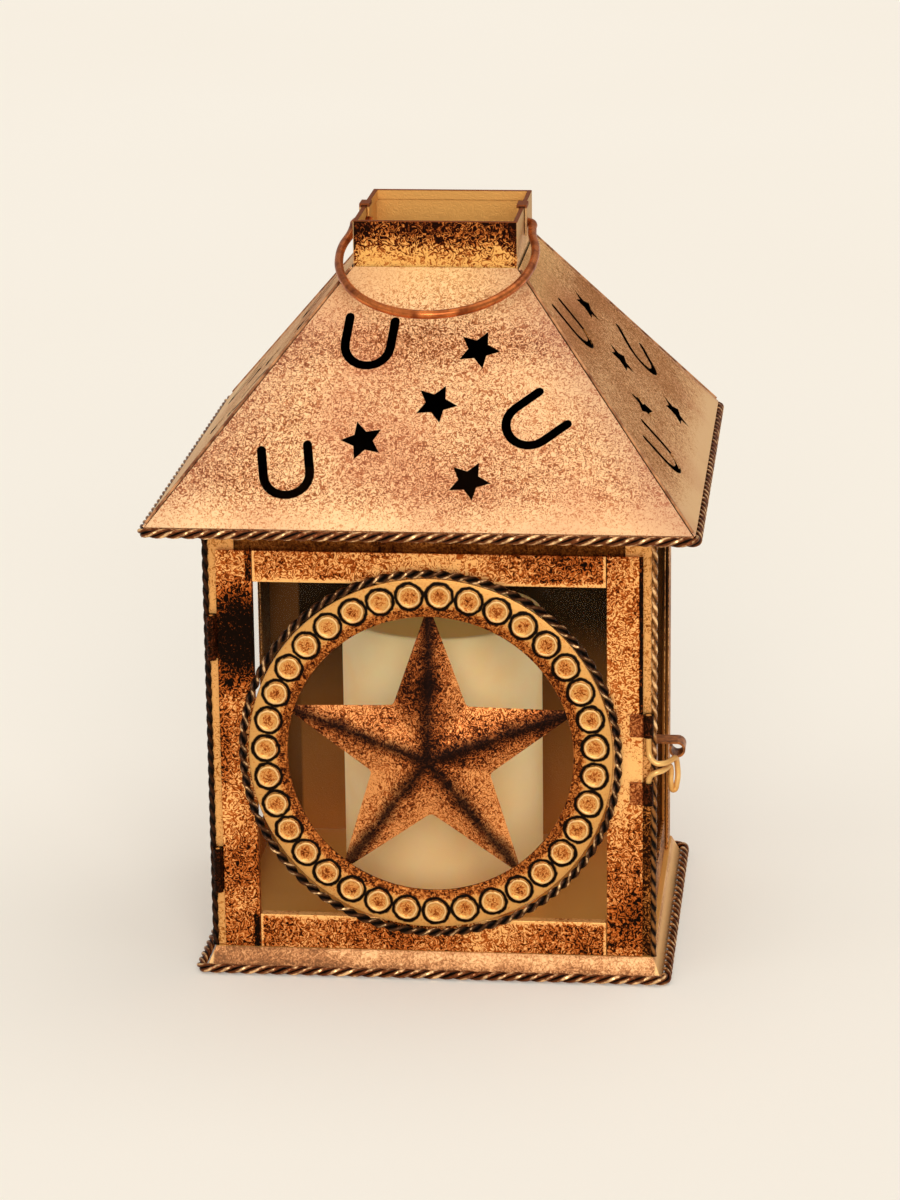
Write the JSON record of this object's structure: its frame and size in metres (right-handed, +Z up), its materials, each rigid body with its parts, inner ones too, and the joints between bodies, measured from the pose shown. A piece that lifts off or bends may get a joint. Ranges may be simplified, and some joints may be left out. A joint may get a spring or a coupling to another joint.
{
  "type": "candle lantern",
  "caption": "Square metal candle lantern with a hinged star-medallion door, wire hasp, glazed sides, punched pyramid roof, open chimney, wire bail handle and a pillar candle.",
  "frame": {"origin": "on the ground, under the centre of the lantern", "axes": "-Y is the front with the door, +X is the viewer's right from the front, +Z is up"},
  "size_m": [0.2014, 0.2084, 0.2784],
  "materials": {
    "copper_paint": "sponged antique copper and gold paint on sheet metal",
    "dark_copper_paint": "copper paint with a near black patina in the hollows",
    "gold_paint": "antique gold paint with copper speckle",
    "pale_wire": "smooth pale gold wire",
    "clear_glass": "clear flat pane",
    "ivory_wax": "smooth ivory wax",
    "wick_cotton": "braided cotton"
  },
  "bodies": {
    "lantern": {"base_tray": "copper_paint", "base_rope": "dark_copper_paint", "post_front_left": "copper_paint", "post_front_right": "copper_paint", "post_back_left": "copper_paint", "post_back_right": "copper_paint", "corner_rope_left": "dark_copper_paint", "corner_rope_right": "dark_copper_paint", "header_band": "copper_paint", "side_frame_left": "copper_paint", "side_frame_right": "copper_paint", "side_glass_left": "clear_glass", "side_glass_right": "clear_glass", "back_panel": "copper_paint", "hinge_upper_post_leaf": "dark_copper_paint", "hinge_upper_pin": "pale_wire", "hinge_lower_post_leaf": "dark_copper_paint", "hinge_lower_pin": "pale_wire", "hasp_catch": "dark_copper_paint", "eave_pan": "copper_paint", "eave_rim": "copper_paint", "eave_rope": "dark_copper_paint", "roof_front": "copper_paint", "roof_right": "copper_paint", "roof_back": "copper_paint", "roof_left": "copper_paint", "hip_seam_front_left": "copper_paint", "hip_seam_front_right": "copper_paint", "hip_seam_back_left": "copper_paint", "hip_seam_back_right": "copper_paint", "chimney_collar": "copper_paint", "bail_ear_left": "copper_paint", "bail_ear_right": "copper_paint", "candle": "ivory_wax", "candle_wick": "wick_cotton"},
    "door": {"door_stile_hinge": "copper_paint", "door_stile_latch": "copper_paint", "door_rail_bottom": "copper_paint", "door_rail_top": "copper_paint", "door_glass": "clear_glass", "medallion_ring": "gold_paint", "medallion_rope": "dark_copper_paint", "medallion_star": "copper_paint", "hinge_upper_door_leaf": "dark_copper_paint", "hinge_lower_door_leaf": "dark_copper_paint", "hasp_strap_upper": "dark_copper_paint", "hasp_strap_lower": "dark_copper_paint"},
    "hasp": {"hasp_wire": "pale_wire"},
    "bail": {"bail": "copper_paint"}
  },
  "joints": [
    {"name": "door_hinge", "type": "hinge", "parent": "lantern", "child": "door", "pos_m": [-0.07995, -0.0689, 0.0843], "axis": [0, 0, -1], "range_deg": [0, 115]},
    {"name": "hasp_hinge", "type": "hinge", "parent": "door", "child": "hasp", "pos_m": [0.0801, -0.0688, 0.0835], "axis": [0, 0, -1], "range_deg": [0, 120]},
    {"name": "bail_hinge", "type": "hinge", "parent": "lantern", "child": "bail", "pos_m": [0, 0, 0.2711], "axis": [-1, 0, 0], "range_deg": [0, 214]}
  ]
}
